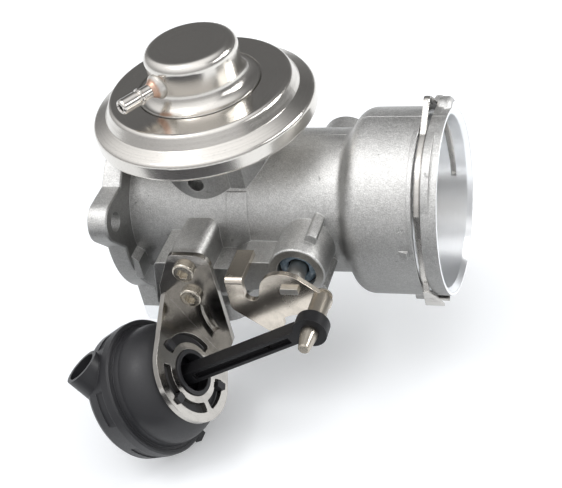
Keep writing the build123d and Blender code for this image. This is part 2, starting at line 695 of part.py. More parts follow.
with BuildPart() as diaphragm:
    # flat centre, one convolution, and a thick bead clamped between the two rims
    sheet_top = LOWER_PLATE_Z + PLATE_T + DIAPHRAGM_T
    fold_z = LOWER_RIM_Z + 2.8
    clamp_z = LOWER_RIM_Z + SHEET
    slope = (SHOULDER.Y - RIM_TOP_Z + HALF) / (CAN_R - HALF - SHOULDER.X)
    bead_out = CAN_R - 2.4
    bead_in = CAN_R - 4.9
    under_slope = RIM_TOP_Z - HALF * (1 + (1 + slope ** 2) ** 0.5) - BEAD_GAP
    with BuildSketch(VALVE_SECTION):
        with BuildLine():
            Polyline((STEM_TIP_R, sheet_top), (PLATE_R + 0.8, sheet_top), (PLATE_R + 0.8, fold_z))
            ThreePointArc((PLATE_R + 0.8, fold_z), (PLATE_R + 3.6, fold_z + 2.8), (PLATE_R + 6.4, fold_z))
            Polyline(
                (PLATE_R + 6.4, fold_z), (PLATE_R + 6.4, clamp_z + DIAPHRAGM_T),
                (bead_in, clamp_z + DIAPHRAGM_T), (bead_in, under_slope + slope * (CAN_R - HALF - bead_in)),
                (bead_out, under_slope + slope * (CAN_R - HALF - bead_out)), (bead_out, clamp_z),
                (PLATE_R + 5.2, clamp_z), (PLATE_R + 5.2, fold_z),
            )
            ThreePointArc((PLATE_R + 5.2, fold_z), (PLATE_R + 3.6, fold_z + 1.6), (PLATE_R + 2.0, fold_z))
            Polyline(
                (PLATE_R + 2.0, fold_z), (PLATE_R + 2.0, LOWER_PLATE_Z + PLATE_T),
                (STEM_TIP_R, LOWER_PLATE_Z + PLATE_T), (STEM_TIP_R, sheet_top),
            )
        make_face()
    revolve(axis=VALVE_AXIS)
diaphragm.part.label = "diaphragm"

with BuildPart() as lower_plate:
    revolve(
        section(
            VALVE_SECTION,
            (STEM_TIP_R, LOWER_PLATE_Z), (PLATE_R - 1, LOWER_PLATE_Z),
            (PLATE_R - 1, LOWER_PLATE_Z + PLATE_T), (STEM_TIP_R, LOWER_PLATE_Z + PLATE_T),
        ),
        axis=VALVE_AXIS,
    )
lower_plate.part.label = "lower_plate"

with BuildPart() as upper_plate:
    revolve(
        section(
            VALVE_SECTION,
            (STEM_TIP_R, NUT_Z - PLATE_T), (PLATE_R, NUT_Z - PLATE_T), (PLATE_R, NUT_Z + 2.8),
            (PLATE_R - PLATE_T, NUT_Z + 2.8), (PLATE_R - PLATE_T, NUT_Z), (STEM_TIP_R, NUT_Z),
        ),
        axis=VALVE_AXIS,
    )
upper_plate.part.label = "upper_plate"

with BuildPart() as stem_nut:
    with BuildSketch(Plane.XY.offset(NUT_Z)):
        with Locations((EGR_X, 0)):
            RegularPolygon(4.6, 6)
            Circle(STEM_TIP_R, mode=Mode.SUBTRACT)
    extrude(amount=NUT_T)
stem_nut.part.label = "stem_nut"


def coil_spring(plane, mean_r, wire_r, length, turns):
    """Compression spring standing on a plane, length from plane to far end."""
    climb = length - 2 * wire_r
    with BuildPart() as spring:
        with BuildLine() as path:
            Helix(pitch=climb / turns, height=climb, radius=mean_r)
        with BuildSketch(Plane(path.line @ 0, z_dir=path.line % 0)):
            Circle(wire_r)
        sweep()
    return plane.offset(wire_r).location * spring.part


with BuildPart() as valve_spring:
    spring_height = CAP_TOP - SHEET - NUT_Z
    add(coil_spring(Plane((EGR_X, 0, NUT_Z)), 11.5, 0.8, spring_height, 5))
valve_spring.part.label = "valve_spring"

# ---------------------------------------------------------------- throttle
with BuildPart() as throttle_shaft:
    revolve(
        section(
            SHAFT_SECTION,
            (LEVER_FRONT_Y + LEVER_T, 0), (LEVER_FRONT_Y + LEVER_T, SHAFT_R),
            (REAR_SHAFT_Y - 0.6, SHAFT_R), (REAR_SHAFT_Y, SHAFT_R - 0.6), (REAR_SHAFT_Y, 0),
        ),
        axis=SHAFT_AXIS,
    )
    # flat tang that drives the lever
    with BuildSketch(on_lever(LEVER_FRONT_Y + LEVER_T)):
        Circle(SHAFT_R)
        Rectangle(2 * SHAFT_R, TANG_T, mode=Mode.INTERSECT)
    extrude(amount=LEVER_T + TANG_PROUD)
    # slot for the flap and flats under the flap screws
    with BuildSketch(on_lever(-FLAP_R)):
        Rectangle(4 * SHAFT_R, FLAP_T)
    extrude(amount=-2 * FLAP_R, mode=Mode.SUBTRACT)
    for y in FLAP_SCREW_Y:
        with BuildSketch(on_lever(y - 3)):
            with Locations((0, FLAT_Z + 2)):
                Rectangle(4 * SHAFT_R, 4)
        extrude(amount=-6, mode=Mode.SUBTRACT)
        with BuildSketch(Plane.XY.offset(-2 * SHAFT_R)):
            with Locations((SHAFT_X, y)):
                Circle(FLAP_SCREW_R)
        extrude(amount=4 * SHAFT_R, mode=Mode.SUBTRACT)
throttle_shaft.part.label = "throttle_shaft"

with BuildPart() as throttle_flap:
    with BuildSketch(Plane.XY.offset(-FLAP_T / 2)):
        with Locations((SHAFT_X, 0)):
            Circle(FLAP_R)
        with Locations(*[(SHAFT_X, y) for y in FLAP_SCREW_Y]):
            Circle(FLAP_SCREW_R, mode=Mode.SUBTRACT)
    extrude(amount=FLAP_T)
throttle_flap.part.label = "throttle_flap"

with BuildPart() as flap_screws:
    for y in FLAP_SCREW_Y:
        with BuildSketch(Plane.XY.offset(-SHAFT_R)):
            with Locations((SHAFT_X, y)):
                Circle(FLAP_SCREW_R)
        extrude(amount=SHAFT_R + FLAT_Z)
        with BuildSketch(Plane.XY.offset(FLAT_Z)):
            with Locations((SHAFT_X, y)):
                Circle(2.6)
        extrude(amount=1.5)
flap_screws.part.label = "flap_screws"

with BuildPart() as front_bush:
    revolve(
        section(
            SHAFT_SECTION,
            (FRONT_BOSS_Y + FRONT_RECESS, SHAFT_R + RUN), (FRONT_BOSS_Y + FRONT_RECESS, BUSH_R),
            (-BUSH_INNER_Y, BUSH_R), (-BUSH_INNER_Y, SHAFT_R + RUN),
        ),
        axis=SHAFT_AXIS,
    )
front_bush.part.label = "front_bush"

with BuildPart() as rear_bush:
    revolve(
        section(
            SHAFT_SECTION,
            (BUSH_INNER_Y, SHAFT_R + RUN), (BUSH_INNER_Y, BUSH_R),
            (REAR_BOSS_Y - REAR_RECESS, BUSH_R), (REAR_BOSS_Y - REAR_RECESS, SHAFT_R + RUN),
        ),
        axis=SHAFT_AXIS,
    )
rear_bush.part.label = "rear_bush"

with BuildPart() as shaft_seal:
    revolve(
        section(
            SHAFT_SECTION,
            (FRONT_BOSS_Y + FRONT_RECESS, SHAFT_R + RUN), (FRONT_BOSS_Y + FRONT_RECESS, BOSS_BORE_R),
            (FRONT_BOSS_Y + SEAL_FACE, BOSS_BORE_R), (FRONT_BOSS_Y + SEAL_FACE, BOSS_BORE_R - 1.2),
            (FRONT_BOSS_Y + SEAL_FACE + 1.2, BOSS_BORE_R - 1.6),
            (FRONT_BOSS_Y + SEAL_FACE + 1.2, SHAFT_R + 0.9), (FRONT_BOSS_Y + SEAL_FACE + 0.4, SHAFT_R + RUN),
        ),
        axis=SHAFT_AXIS,
    )
shaft_seal.part.label = "shaft_seal"

with BuildPart() as boss_plug:
    revolve(
        section(
            SHAFT_SECTION,
            (REAR_BOSS_Y - 2.6, 0), (REAR_BOSS_Y - 2.6, BOSS_BORE_R),
            (REAR_BOSS_Y - 0.2, BOSS_BORE_R), (REAR_BOSS_Y - 0.2, BOSS_BORE_R - 1),
            (REAR_BOSS_Y - 1.6, BOSS_BORE_R - 1), (REAR_BOSS_Y - 1.6, 0),
        ),
        axis=SHAFT_AXIS,
    )
boss_plug.part.label = "boss_plug"

# lever outline about the shaft: (x, z) from the shaft centre
with BuildPart() as lever:
    with BuildSketch(on_lever(LEVER_FRONT_Y + LEVER_T)):
        with BuildLine():
            Line((NOTCH_X[1], -3.0), (-10.2, 1.0))
            ThreePointArc((-10.2, 1.0), (-7.9, 4.2), (-4.2, 5.8))
            ThreePointArc((-4.2, 5.8), (-0.5, 5.8), (3.2, 4.2))
            Line((3.2, 4.2), (11.4, -3.0))
            ThreePointArc((11.4, -3.0), (12.9, -5.3), (12.0, -7.9))
            FilletPolyline(
                (12.0, -7.9), (-2.6, -11.6), (-5.2, -13.0), (-4.8, -16.4), (-10.5, -18.8),
                (TAB_X[0], -9.2), (TAB_X[0], TAB_Z + LEVER_T),
                radius=[2.0, 1.2, 1.0, 1.5, 3.5],
            )
            Line((TAB_X[0], TAB_Z + LEVER_T), (NOTCH_X[0], TAB_Z + LEVER_T))
            Line((NOTCH_X[0], TAB_Z + LEVER_T), (NOTCH_X[0], -3.0))
            ThreePointArc((NOTCH_X[0], -3.0), ((NOTCH_X[0] + NOTCH_X[1]) / 2, -5.45), (NOTCH_X[1], -3.0))
        make_face()
        with BuildSketch(mode=Mode.PRIVATE) as tang_hole:
            Circle(SHAFT_R)
            Rectangle(2 * SHAFT_R, TANG_T, mode=Mode.INTERSECT)
        add(tang_hole.sketch, mode=Mode.SUBTRACT)
        with Locations((PIN_DX, PIN_DZ)):
            Circle(JOURNAL_R - 0.4, mode=Mode.SUBTRACT)
    extrude(amount=LEVER_T)
    # stop tab bent back over the web of the casting
    with BuildSketch(on_lever(LEVER_FRONT_Y + LEVER_T)):
        with Locations(((TAB_X[0] + TAB_X[1]) / 2, TAB_Z + LEVER_T / 2)):
            Rectangle(TAB_X[1] - TAB_X[0], LEVER_T)
    extrude(amount=-TAB_LENGTH)
    bend = lever.edges().filter_by(Axis.X).group_by(Axis.Y)[0].sort_by(Axis.Z)[-1]
    fillet(bend, LEVER_T - 0.1)
lever.part.label = "lever"

with BuildPart() as lever_pin:
    revolve(
        section(
            PIN_SECTION,
            (LEVER_FRONT_Y + LEVER_T + 0.5, 0), (LEVER_FRONT_Y + LEVER_T + 0.5, JOURNAL_R + 0.2),
            (LEVER_FRONT_Y + LEVER_T, JOURNAL_R + 0.2), (LEVER_FRONT_Y + LEVER_T, JOURNAL_R - 0.4),
            (LEVER_FRONT_Y, JOURNAL_R - 0.4), (LEVER_FRONT_Y, PIN_R),
            (EYE_BACK + EYE_GAP, PIN_R), (EYE_BACK + EYE_GAP, JOURNAL_R),
            (ROD_Y - ROD_T / 2 - 0.6, JOURNAL_R), (PIN_TIP_Y + 0.4, PIN_TIP_R), (PIN_TIP_Y, PIN_TIP_R - 0.4),
            (PIN_TIP_Y, 0),
        ),
        axis=PIN_AXIS,
    )
lever_pin.part.label = "lever_pin"

# ---------------------------------------------------------------- rod, piston and actuator
with BuildPart() as rod:
    # flat shank with a groove along both faces, and the eye for the lever pin
    with BuildSketch(ALONG_ROD.offset(-ROD_T / 2)):
        with Locations(((EYE_R + 1 + RING_FROM_PIN + SHANK_INTO_BELL) / 2, 0)):
            Rectangle(RING_FROM_PIN + SHANK_INTO_BELL - EYE_R - 1, ROD_W)
    extrude(amount=ROD_T)
    with BuildSketch(ALONG_ROD.offset(ROD_T / 2 - EYE_T)):
        Circle(EYE_R)
        with Locations((EYE_R / 2 + 1.5, 0)):
            Rectangle(EYE_R + 3, ROD_W)
    extrude(amount=EYE_T)
    for face in (-1, 1):
        with BuildSketch(ALONG_ROD.offset(face * ROD_T / 2)):
            with Locations(((RING_FROM_PIN + EYE_R) / 2 + 0.5, 0)):
                Rectangle(RING_FROM_PIN - EYE_R - 4, ROD_W - 2.2)
        extrude(amount=-face * 1.8, mode=Mode.SUBTRACT)
    with BuildSketch(ALONG_ROD.offset(-ROD_T)):
        with Locations((18.3, 0)):
            Circle(1.2)
    extrude(amount=2 * ROD_T, mode=Mode.SUBTRACT)
    # neck and button that the piston socket holds
    revolve(
        section(
            ACTUATOR_SECTION,
            (-2.0, 0), (-2.0, 2.2), (BUTTON_DEPTH - BUTTON_T, 2.0), (BUTTON_DEPTH - BUTTON_T, BUTTON_R),
            (BUTTON_DEPTH, BUTTON_R), (BUTTON_DEPTH, 0),
        ),
        axis=ACTUATOR_AXIS,
    )
    with BuildSketch(facing_front(ROD_Y + ROD_T)):
        with Locations((PIN_X, PIN_DZ)):
            Circle(JOURNAL_R + RUN)
    extrude(amount=2 * ROD_T, mode=Mode.SUBTRACT)
rod.part.label = "rod"

socket_back = BUTTON_DEPTH + SOCKET_PLAY
socket_front = BUTTON_DEPTH - BUTTON_T - SOCKET_PLAY
piston_back = socket_back + 1.4
with BuildPart() as actuator_piston:
    # plate with a socket that holds the button loosely sideways, because the rod sags in mid-stroke
    revolve(
        section(
            ACTUATOR_SECTION,
            (socket_back, 0), (socket_back, SOCKET_R), (socket_front, SOCKET_R),
            (socket_front, LIP_R), (socket_front - 1.2, LIP_R), (socket_front - 1.2, SOCKET_R + 1.4),
            (socket_back, SOCKET_R + 1.4), (socket_back, PISTON_R),
            (piston_back, PISTON_R), (piston_back, 0),
        ),
        axis=ACTUATOR_AXIS,
    )
actuator_piston.part.label = "actuator_piston"

with BuildPart() as actuator_bell:
    # moulded front half: neck through the ring, rounded bell, rear rim
    with BuildSketch(ACTUATOR_SECTION):
        with BuildLine():
            Polyline(
                (BRACKET_T + 1.8, BELL_NECK_BORE_R), (-0.6, BELL_NECK_BORE_R), (-0.6, RING_HOLE_R - 0.2),
                (BRACKET_T, RING_HOLE_R - 0.2), (BRACKET_T, 13.6),
            )
            ThreePointArc((BRACKET_T, 13.6), (6.6, 18.9), (RIM_DEPTH - 2, BELL_R))
            Polyline(
                (RIM_DEPTH - 2, BELL_R), (RIM_DEPTH, BELL_R + 0.4), (RIM_DEPTH, COVER_INNER_R - 0.1),
                (RIM_DEPTH + 1.9, COVER_INNER_R - 0.1), (RIM_DEPTH + 1.9, BELL_R - 1.8),
                (RIM_DEPTH - 2, BELL_R - 1.8),
            )
            ThreePointArc((RIM_DEPTH - 2, BELL_R - 1.8), (8.2, 17.3), (BRACKET_T + 1.8, 12.4))
            Line((BRACKET_T + 1.8, 12.4), (BRACKET_T + 1.8, BELL_NECK_BORE_R))
        make_face()
    revolve(axis=ACTUATOR_AXIS)
    # hooks that snap through the ring slots
    for angle in HOOK_ANGLES:
        with BuildSketch(across_actuator(BRACKET_T)):
            add(arc_window(SLOT_OUTER_R - 0.2 - HOOK_T, SLOT_OUTER_R - 0.2, angle - 6, 12, 0.4))
        extrude(amount=-BRACKET_T - 1.0)
        with BuildSketch(across_actuator(-1.0)):
            add(arc_window(SLOT_OUTER_R - 0.2 - HOOK_T, SLOT_OUTER_R + 0.8, angle - 5, 10, 0.4))
        extrude(amount=1.0)
actuator_bell.part.label = "actuator_bell"

with BuildPart() as actuator_cover:
    # moulded rear half that snaps over the bell rim
    revolve(
        section(
            ACTUATOR_SECTION,
            (COVER_FRONT, COVER_INNER_R), (COVER_FRONT, COVER_R - 0.5), (COVER_FRONT + 0.5, COVER_R),
            (RIM_DEPTH + 3.4, COVER_R), (COVER_DEPTH - 2.4, COVER_R - 1.1),
            (COVER_DEPTH - 0.8, COVER_R - 2.2), (COVER_DEPTH, COVER_R - 4.0),
            (COVER_DEPTH, 0), (COVER_DEPTH - 1.6, 0),
            (COVER_DEPTH - 1.6, COVER_R - 5.2), (RIM_DEPTH + 3.1, COVER_INNER_R - 2.6),
            (RIM_DEPTH + 3.1, COVER_INNER_R),
        ),
        axis=ACTUATOR_AXIS,
    )
    # snap windows round the rim
    for start, arc in COVER_WINDOWS:
        with BuildSketch(across_actuator(RIM_DEPTH + 3.6)):
            add(arc_slot(COVER_R + 0.2, 2.2, start, arc))
        extrude(amount=3.4, mode=Mode.SUBTRACT)
    # locating tab under the rim
    with BuildSketch(across_actuator(COVER_FRONT)):
        with PolarLocations(COVER_R + 0.4, 1, start_angle=-87):
            Rectangle(2.4, 4)
    extrude(amount=2.5)
    # hose spout that runs up the back, closed below, open above
    with BuildSketch(SPOUT_BASE):
        Circle(SPOUT_R)
    extrude(amount=SPOUT_LENGTH)
    revolve(
        section(
            ACTUATOR_SECTION,
            (RIM_DEPTH, 0), (RIM_DEPTH, COVER_INNER_R - 2.6), (RIM_DEPTH + 3.1, COVER_INNER_R - 2.6),
            (COVER_DEPTH - 1.6, COVER_R - 5.2), (COVER_DEPTH - 1.6, 0),
        ),
        axis=ACTUATOR_AXIS,
        mode=Mode.SUBTRACT,
    )
    with BuildSketch(SPOUT_BASE.offset(SPOUT_WALL)):
        Circle(SPOUT_R - SPOUT_WALL)
    extrude(amount=SPOUT_LENGTH, mode=Mode.SUBTRACT)
actuator_cover.part.label = "actuator_cover"

with BuildPart() as actuator_diaphragm:
    # rim clamped between bell and cover, one fold, centre behind the piston plate
    revolve(
        section(
            ACTUATOR_SECTION,
            (RIM_DEPTH + 1.9, COVER_INNER_R - 0.1), (RIM_DEPTH + 3.1, COVER_INNER_R - 0.1),
            (RIM_DEPTH + 3.1, BELL_R - 3.4), (piston_back + 1, PISTON_R + 0.6), (piston_back + 1, 0),
            (piston_back, 0), (piston_back, PISTON_R + 1.2), (RIM_DEPTH + 1.9, BELL_R - 2.8),
        ),
        axis=ACTUATOR_AXIS,
    )
actuator_diaphragm.part.label = "actuator_diaphragm"

with BuildPart() as actuator_spring:
    spring_room = COVER_DEPTH - 1.6 - (piston_back + 1)
    add(coil_spring(across_actuator(piston_back + 1), 10.0, 0.6, spring_room, 4))
actuator_spring.part.label = "actuator_spring"

# ---------------------------------------------------------------- bracket
leg_back = RING_CENTRE - ROD_DIR * BRACKET_T
leg_up = Vector(-ROD_DIR.Z, 0, ROD_DIR.X)
fold_top = leg_back + leg_up * FOLD_TOP
fold_foot = leg_back + leg_up * FOLD_FOOT
plate_front = ROD_Y - PAD_FRONT_Y + BRACKET_T    # front face of the upper plate, in leg coordinates
with BuildPart() as bracket:
    # upper plate on the pad
    with BuildSketch(facing_front(PAD_FRONT_Y)):
        with BuildLine():
            FilletPolyline(
                (fold_top.X, fold_top.Z), (22.2, -3.6), (28.6, 9.9), (42.6, 9.7), (43.4, -28.0),
                (fold_foot.X + 2.4, fold_foot.Z + 1.6), (fold_foot.X, fold_foot.Z),
                radius=[2.0, 2.5, 5.0, 4.0, 0.6],
            )
            Line((fold_foot.X, fold_foot.Z), (fold_top.X, fold_top.Z))
        make_face()
        with Locations(*[(SCREW_X, z) for z in SCREW_Z]):
            Circle(SCREW_R + 0.25, mode=Mode.SUBTRACT)
    extrude(amount=BRACKET_T)
    # leg with the ring that carries the actuator
    with BuildSketch(across_actuator(0)):
        with BuildSketch(mode=Mode.PRIVATE) as web:
            Circle(RING_R)
            with Locations((plate_front - BRACKET_T / 2, (FOLD_TOP + FOLD_FOOT) / 2)):
                Rectangle(BRACKET_T, FOLD_TOP - FOLD_FOOT)
            make_hull()
        add(web.sketch)
        Circle(RING_HOLE_R, mode=Mode.SUBTRACT)
        for start, arc in RING_SLOTS:
            add(arc_window(SLOT_INNER_R, SLOT_OUTER_R, start, arc, 0.7), mode=Mode.SUBTRACT)
    extrude(amount=BRACKET_T)
    # pressed bead beside the lower screw: raised behind where it is clear of the pad, hollow in front
    with BuildSketch(facing_front(PAD_FRONT_Y)):
        with BuildLine() as back_bead:
            Spline((36.7, -15.4), (37.0, -18.8), (38.8, -23.6))
        trace(back_bead.line, line_width=4.4)
    extrude(amount=-0.8)
    with BuildSketch(facing_front(PAD_FRONT_Y - BRACKET_T)):
        with BuildLine() as front_bead:
            Spline((36.9, -11.5), (36.7, -17.0), (38.6, -23.0))
        trace(front_bead.line, line_width=3.0)
    extrude(amount=-0.9, mode=Mode.SUBTRACT)
bracket.part.label = "bracket"

with BuildPart() as bracket_screws:
    with BuildSketch(facing_front(PAD_FRONT_Y - BRACKET_T)) as heads:
        with Locations(*[(SCREW_X, z) for z in SCREW_Z]):
            Circle(SCREW_HEAD_R)
    extrude(amount=2.2)
    rims = bracket_screws.edges().filter_by(GeomType.CIRCLE).group_by(Axis.Y)[0]
    fillet(rims, 0.9)
    with BuildSketch(facing_front(PAD_FRONT_Y - BRACKET_T - 2.2)):
        with Locations(*[(SCREW_X, z) for z in SCREW_Z]):
            Circle(1.7)
            with PolarLocations(1.7, 6):
                Circle(0.42)
    extrude(amount=-1.5, mode=Mode.SUBTRACT)
    with BuildSketch(facing_front(PAD_FRONT_Y - BRACKET_T)):
        with Locations(*[(SCREW_X, z) for z in SCREW_Z]):
            Circle(SCREW_R)
    extrude(amount=-SCREW_DEPTH + 1)
bracket_screws.part.label = "bracket_screws"

# ---------------------------------------------------------------- hose clip
# spring steel strip round the groove: M-shaped bow near the lug, chords through both windows,
# two flared ends that are pushed apart to free the hose
with BuildPart() as hose_clip:
    with BuildSketch(cross_bore(CLIP_X - CLIP_WIDTH / 2)):
        with BuildLine() as clip_path:
            Line(about_bore(33.2, CLIP_AXIS - 33), about_bore(CLIP_R, CLIP_AXIS - 37))
            CenterArc((0, 0), CLIP_R, 196, CLIP_AXIS - 37 - 196)
            ThreePointArc(about_bore(CLIP_R, 196), (-28.75, 2.9), about_bore(CLIP_R, 152))
            CenterArc((0, 0), CLIP_R, 100, 52)
            FilletPolyline(
                about_bore(CLIP_R, 100), about_bore(38.2, 80), about_bore(33.0, 62),
                about_bore(35.8, 48), about_bore(CLIP_R, 37),
                radius=[2.4, 2.4, 1.6],
            )
            ThreePointArc(about_bore(CLIP_R, 37), (28.6, 4.8), about_bore(CLIP_R, -17))
            CenterArc((0, 0), CLIP_R, CLIP_AXIS - 360 + 37, -17 - (CLIP_AXIS - 360 + 37))
            Line(about_bore(CLIP_R, CLIP_AXIS + 37), about_bore(33.2, CLIP_AXIS + 33))
        trace(clip_path.line, line_width=CLIP_T)
    extrude(amount=CLIP_WIDTH)
    for side in (-1, 1):
        foot = Vector(0, *about_bore(33.2, CLIP_AXIS + side * 34))
        tip = Vector(0, *about_bore(35.2, CLIP_AXIS + side * 7))
        along = (tip - foot).normalized()
        facing = Vector(1, 0, 0).cross(along)
        with BuildSketch(Plane(foot + Vector(CLIP_X, 0, 0), x_dir=(1, 0, 0), z_dir=facing)):
            Polygon(
                (-CLIP_WIDTH / 2, 0), (CLIP_WIDTH / 2, 0), (3.3, (tip - foot).length),
                (-3.3, (tip - foot).length), align=None,
            )
        extrude(amount=CLIP_T / 2, both=True)
hose_clip.part.label = "hose_clip"

# ---------------------------------------------------------------- files
for piece in (
    housing, egr_seat, egr_poppet, stem_guide, stem_seal, lower_can, can_screws, upper_can,
    vacuum_nipple, nipple_braze, diaphragm, lower_plate, upper_plate, stem_nut, valve_spring,
    throttle_shaft, throttle_flap, flap_screws, front_bush, rear_bush, shaft_seal, boss_plug,
    lever, lever_pin, rod, actuator_piston, actuator_bell, actuator_cover, actuator_diaphragm,
    actuator_spring, bracket, bracket_screws, hose_clip,
):
    export_step(piece.part, f"parts/{piece.part.label}.step")
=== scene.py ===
import bmesh
import bpy
from math import cos, pi, radians, sin
from mathutils import Matrix, Vector, noise


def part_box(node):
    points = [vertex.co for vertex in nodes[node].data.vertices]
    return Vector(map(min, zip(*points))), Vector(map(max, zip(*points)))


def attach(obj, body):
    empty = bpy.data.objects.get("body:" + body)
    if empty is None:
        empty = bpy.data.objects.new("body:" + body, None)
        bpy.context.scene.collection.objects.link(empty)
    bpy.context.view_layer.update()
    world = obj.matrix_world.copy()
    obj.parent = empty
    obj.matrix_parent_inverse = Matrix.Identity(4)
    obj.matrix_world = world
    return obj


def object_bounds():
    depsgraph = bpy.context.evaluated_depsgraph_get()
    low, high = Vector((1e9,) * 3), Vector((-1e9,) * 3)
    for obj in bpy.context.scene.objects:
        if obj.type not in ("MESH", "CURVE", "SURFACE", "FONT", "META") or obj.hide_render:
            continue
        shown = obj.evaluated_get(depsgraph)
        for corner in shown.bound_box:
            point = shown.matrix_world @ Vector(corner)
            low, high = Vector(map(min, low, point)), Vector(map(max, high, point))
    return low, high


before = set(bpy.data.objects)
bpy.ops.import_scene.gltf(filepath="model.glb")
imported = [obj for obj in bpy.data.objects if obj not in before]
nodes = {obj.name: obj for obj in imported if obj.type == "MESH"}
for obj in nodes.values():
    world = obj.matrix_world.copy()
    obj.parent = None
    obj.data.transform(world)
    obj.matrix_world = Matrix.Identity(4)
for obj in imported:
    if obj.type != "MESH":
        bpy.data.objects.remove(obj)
cad_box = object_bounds()

# ---------------------------------------------------------------- places, in metres
def middle(name):
    low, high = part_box(name)
    return (low + high) / 2


MM = 0.001
BODY_LOW, BODY_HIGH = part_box("housing")
FLOOR_Z = cad_box[0].z - 0.2 * MM           # the table lies just under the lowest piece
SHAFT_X = middle("front_bush").x            # throttle shaft, along Y
BOSS_FACE_Y = -39.7 * MM                    # front of the shaft boss
CAN_X = middle("upper_can").x               # diaphragm can, along Z
NIPPLE_TURN = radians(237.0)                # way the vacuum nipple points, seen from above
NIPPLE_AT = (CAN_X, 0.0, middle("vacuum_nipple").z)     # its axis crosses the can's here
NIPPLE_ALONG = (cos(NIPPLE_TURN), sin(NIPPLE_TURN), 0.0)

# turned faces of the casting
COLLAR_STEP_X = 89 * MM                     # from here to the mouth the collar is turned
COLLAR_REACH = 30.9 * MM                    # radius that holds its turned wall
BORE_REACH = 23.05 * MM
GAS_FACE_Z = -33.5 * MM
FACE_SLACK = 0.03 * MM
PARTING_Y = 4.0 * MM                        # seam that the two die halves left along the tube
PARTING_FROM_Z = 20 * MM

# ---------------------------------------------------------------- studio
FLOOR_HALF = 6.0
FLOOR_WHITE = (0.80, 0.82, 0.84)
FLOOR_GLOW = 0.26
# black sheet in front that only reflections see: painted shade in the metal's reflections
SHADE_SHEET_LOW, SHADE_SHEET_HIGH = (-0.16, -0.36), (0.16, -0.125)
SHADE_SHEET_BLACK = (0.06, 0.06, 0.065)

# height of a direction (the sine of its elevation) and the brightness there
ROOM_SKY = ((0.0, 0.50), (0.25, 0.55), (0.42, 0.75), (0.60, 1.0), (0.80, 1.2), (1.0, 1.3))
WALL_SKY = ((0.0, 0.25), (0.45, 0.15), (0.68, 0.18), (0.80, 0.45), (0.92, 1.1), (1.0, 1.3))
DIM_WALL = (0.5, 0.866, 0.0)                # way to the middle of the dim wall
KEY_SIDE = (-0.11, -0.63, 0.77)             # way to the brightest part of the room
KEY_GAIN = 0.15

# softboxes: place, what it is aimed at, size and watts
OBJECT = (0.05, -0.01, 0.0)
MOUTH = (0.11, 0.0, 0.0)
PANELS = {
    "ceiling_panel": ((-0.35, -0.30, 1.25), OBJECT, (0.5, 0.5), 3.4),
    "mouth_panel": ((1.00, 0.42, 0.62), MOUTH, (0.40, 0.30), 6.0),
    "side_panel": ((1.25, -0.10, 0.75), OBJECT, (0.5, 0.35), 1.8),
}

# camera, as the photograph was taken
CAMERA_AT = Vector((0.20299, -0.34770, 0.26518))
CAMERA_LOOK = Vector((-0.32212, 0.73136, -0.60112))
CAMERA_ROLL = radians(-13.5)
CAMERA_LENS = 83.875

# ---------------------------------------------------------------- base colours
CAST_PALE = (0.78, 0.775, 0.76)
CAST_GREY = (0.70, 0.695, 0.68)
TURNED_DARK = (0.90, 0.91, 0.92)
TURNED_PALE = (0.95, 0.96, 0.97)
PLATED = (0.70, 0.675, 0.635)
PLATED_PIPE = (0.72, 0.69, 0.65)
PLATED_LEVER = (0.68, 0.62, 0.54)
PLATED_SCREW = (0.56, 0.52, 0.45)
NICKEL = (0.48, 0.46, 0.43)
SPRING_STEEL = (0.58, 0.56, 0.53)
GROUND_STEEL = (0.64, 0.62, 0.58)
TURNED_STEEL = (0.46, 0.42, 0.36)
VALVE_STEEL = (0.50, 0.49, 0.47)
BRASS = (0.66, 0.52, 0.30)
COPPER_DARK = (0.50, 0.27, 0.18)
COPPER_PALE = (0.74, 0.56, 0.46)
BLACK_NYLON = (0.016, 0.016, 0.018)
BLACK_ROD = (0.008, 0.008, 0.009)


# ---------------------------------------------------------------- material building
def feed(tree, socket, value):
    """Links the value to the socket if it is a socket too, or sets it."""
    if isinstance(value, bpy.types.NodeSocket):
        tree.links.new(value, socket)
    elif isinstance(value, tuple) and socket.type == "RGBA":
        socket.default_value = (*value, 1.0)
    else:
        socket.default_value = value


def add_node(tree, kind, inputs=(), **settings):
    made = tree.nodes.new(kind)
    for key, value in settings.items():
        setattr(made, key, value)
    for key, value in dict(inputs).items():
        feed(tree, made.inputs[key], value)
    return made


def shaded(color, part):
    """The colour with each channel times the part, at most 1."""
    return tuple(min(1.0, part * channel) for channel in color)


